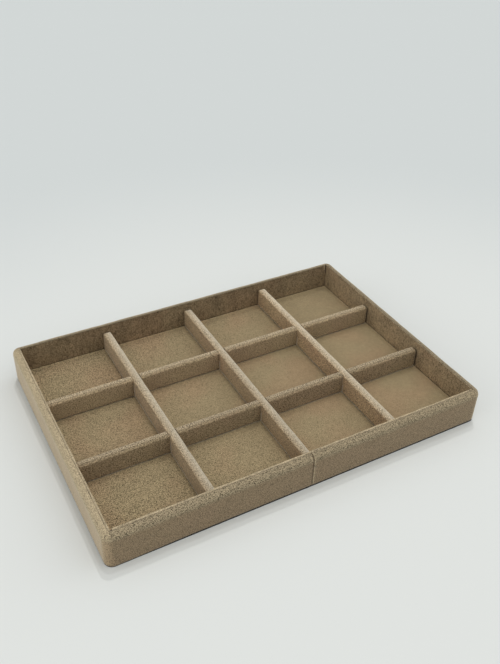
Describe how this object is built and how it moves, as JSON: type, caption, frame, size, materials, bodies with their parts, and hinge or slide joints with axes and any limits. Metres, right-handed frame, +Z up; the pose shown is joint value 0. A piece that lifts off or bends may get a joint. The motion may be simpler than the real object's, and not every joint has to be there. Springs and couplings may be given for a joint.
{
  "type": "jewelry tray",
  "caption": "Flat rectangular jewelry tray covered in taupe microfibre suede, with a lift-out half-lapped divider grid and a rounded rim.",
  "frame": {"origin": "centre of the underside, on the surface that the tray stands on", "axes": "+X along the long side, +Y to the back wall (the seam is in the front wall at -Y), +Z up"},
  "size_m": [0.35, 0.246, 0.0335],
  "materials": {
    "outer_suede": "matte",
    "lining_suede": "matte",
    "floor_suede": "matte",
    "divider_suede": "matte",
    "fibreboard": "matte",
    "grey_card": "matte",
    "backing_card": "matte"
  },
  "bodies": {
    "tray": {"backing_sheet": "backing_card", "base_board": "fibreboard", "outer_cover": "outer_suede", "front_rail": "fibreboard", "back_rail": "fibreboard", "left_rail": "fibreboard", "right_rail": "fibreboard", "front_lining_card": "grey_card", "back_lining_card": "grey_card", "left_lining_card": "grey_card", "right_lining_card": "grey_card", "front_lining_cover": "lining_suede", "back_lining_cover": "lining_suede", "left_lining_cover": "lining_suede", "right_lining_cover": "lining_suede", "floor_card": "grey_card", "floor_cover": "floor_suede"},
    "divider_grid": {"cross_divider_core_1": "fibreboard", "cross_divider_core_2": "fibreboard", "cross_divider_core_3": "fibreboard", "long_divider_core_1": "fibreboard", "long_divider_core_2": "fibreboard", "cross_divider_cover_1": "divider_suede", "cross_divider_cover_2": "divider_suede", "cross_divider_cover_3": "divider_suede", "long_divider_cover_1": "divider_suede", "long_divider_cover_2": "divider_suede"}
  },
  "joints": [
    {"name": "divider_grid_lift", "type": "slide", "parent": "tray", "child": "divider_grid", "axis": [0, 0, 1], "range_m": [0, 0.035]}
  ]
}
